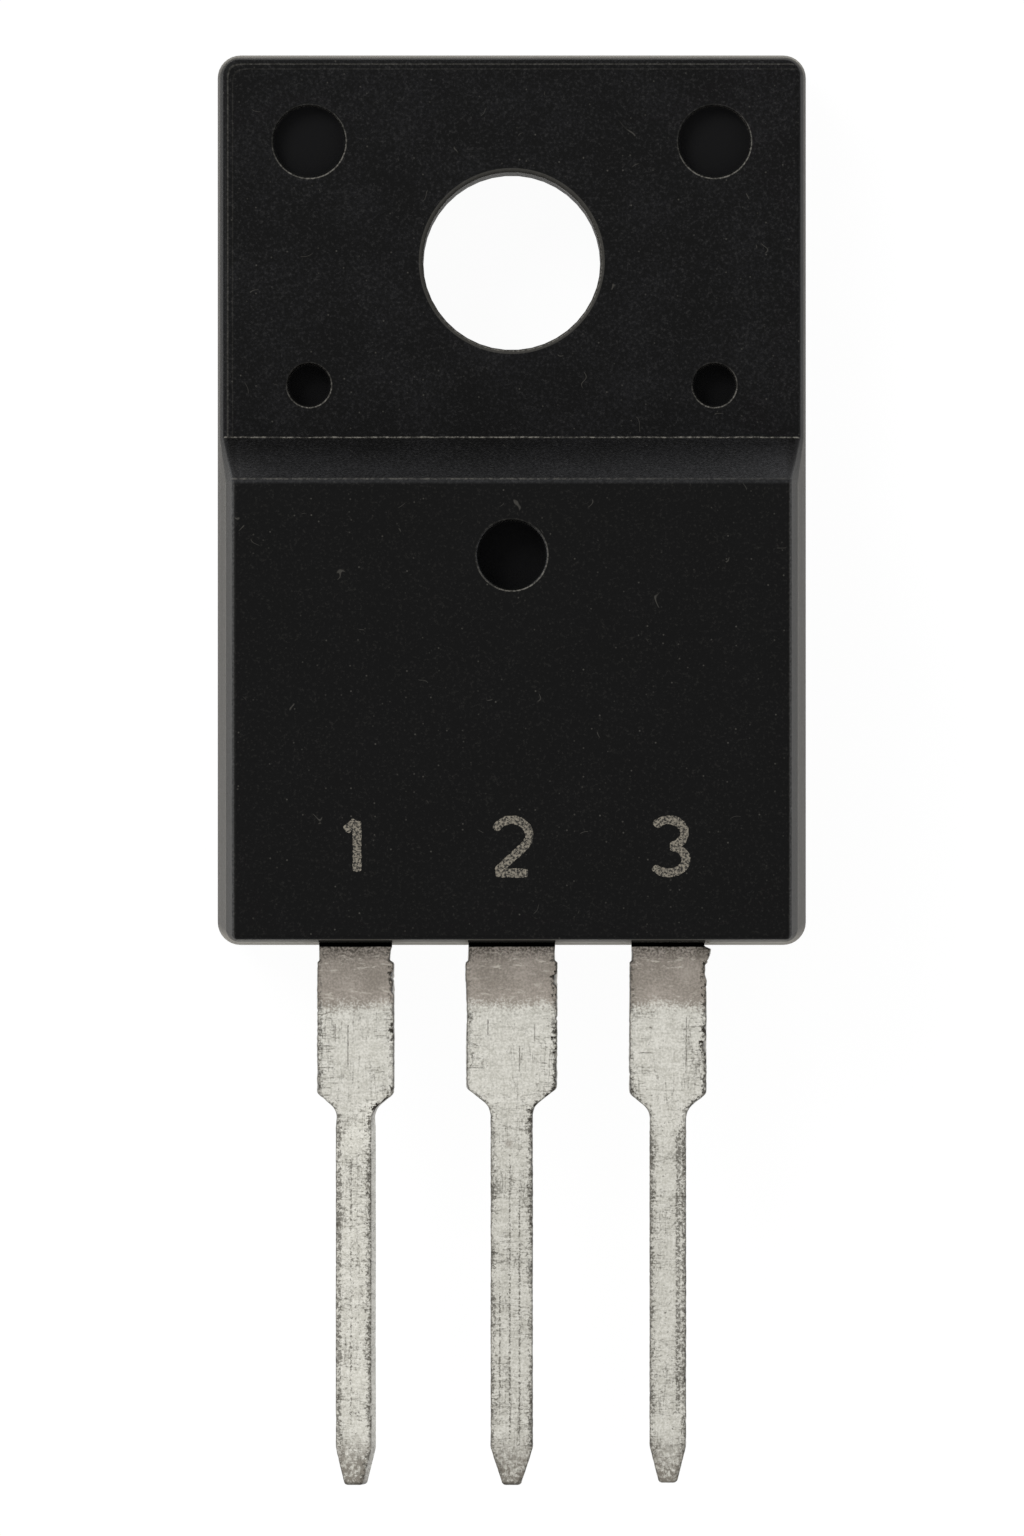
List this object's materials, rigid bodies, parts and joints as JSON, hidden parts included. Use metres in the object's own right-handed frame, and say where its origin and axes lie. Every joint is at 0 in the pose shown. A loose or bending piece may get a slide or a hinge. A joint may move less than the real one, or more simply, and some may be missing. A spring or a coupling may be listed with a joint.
{
  "type": "power transistor",
  "caption": "Flat insulated power transistor: black epoxy body with a stepped screw tab and straight flat tin-plated leads.",
  "frame": {"origin": "the screw hole's axis where it leaves the back face", "axes": "+X across the leads, towards the source lead; +Y along the body, towards the screw tab; +Z out of the front face, along the screw hole"},
  "size_m": [0.0104, 0.0252, 0.0047],
  "materials": {
    "black_epoxy": "moulded filled epoxy with a spark-eroded texture",
    "tinned_copper": "matte tin plating on stamped copper",
    "silicon": "polished silicon with an aluminium top layer",
    "solder": "dull lead-rich solder",
    "bond_wire": "drawn aluminium"
  },
  "bodies": {
    "root": {"moulded_body": "black_epoxy", "header_and_drain_lead": "tinned_copper", "gate_lead": "tinned_copper", "source_lead": "tinned_copper", "silicon_die": "silicon", "die_attach_solder": "solder", "gate_bond_wire": "bond_wire", "source_bond_wire_1": "bond_wire", "source_bond_wire_2": "bond_wire"}
  },
  "joints": []
}
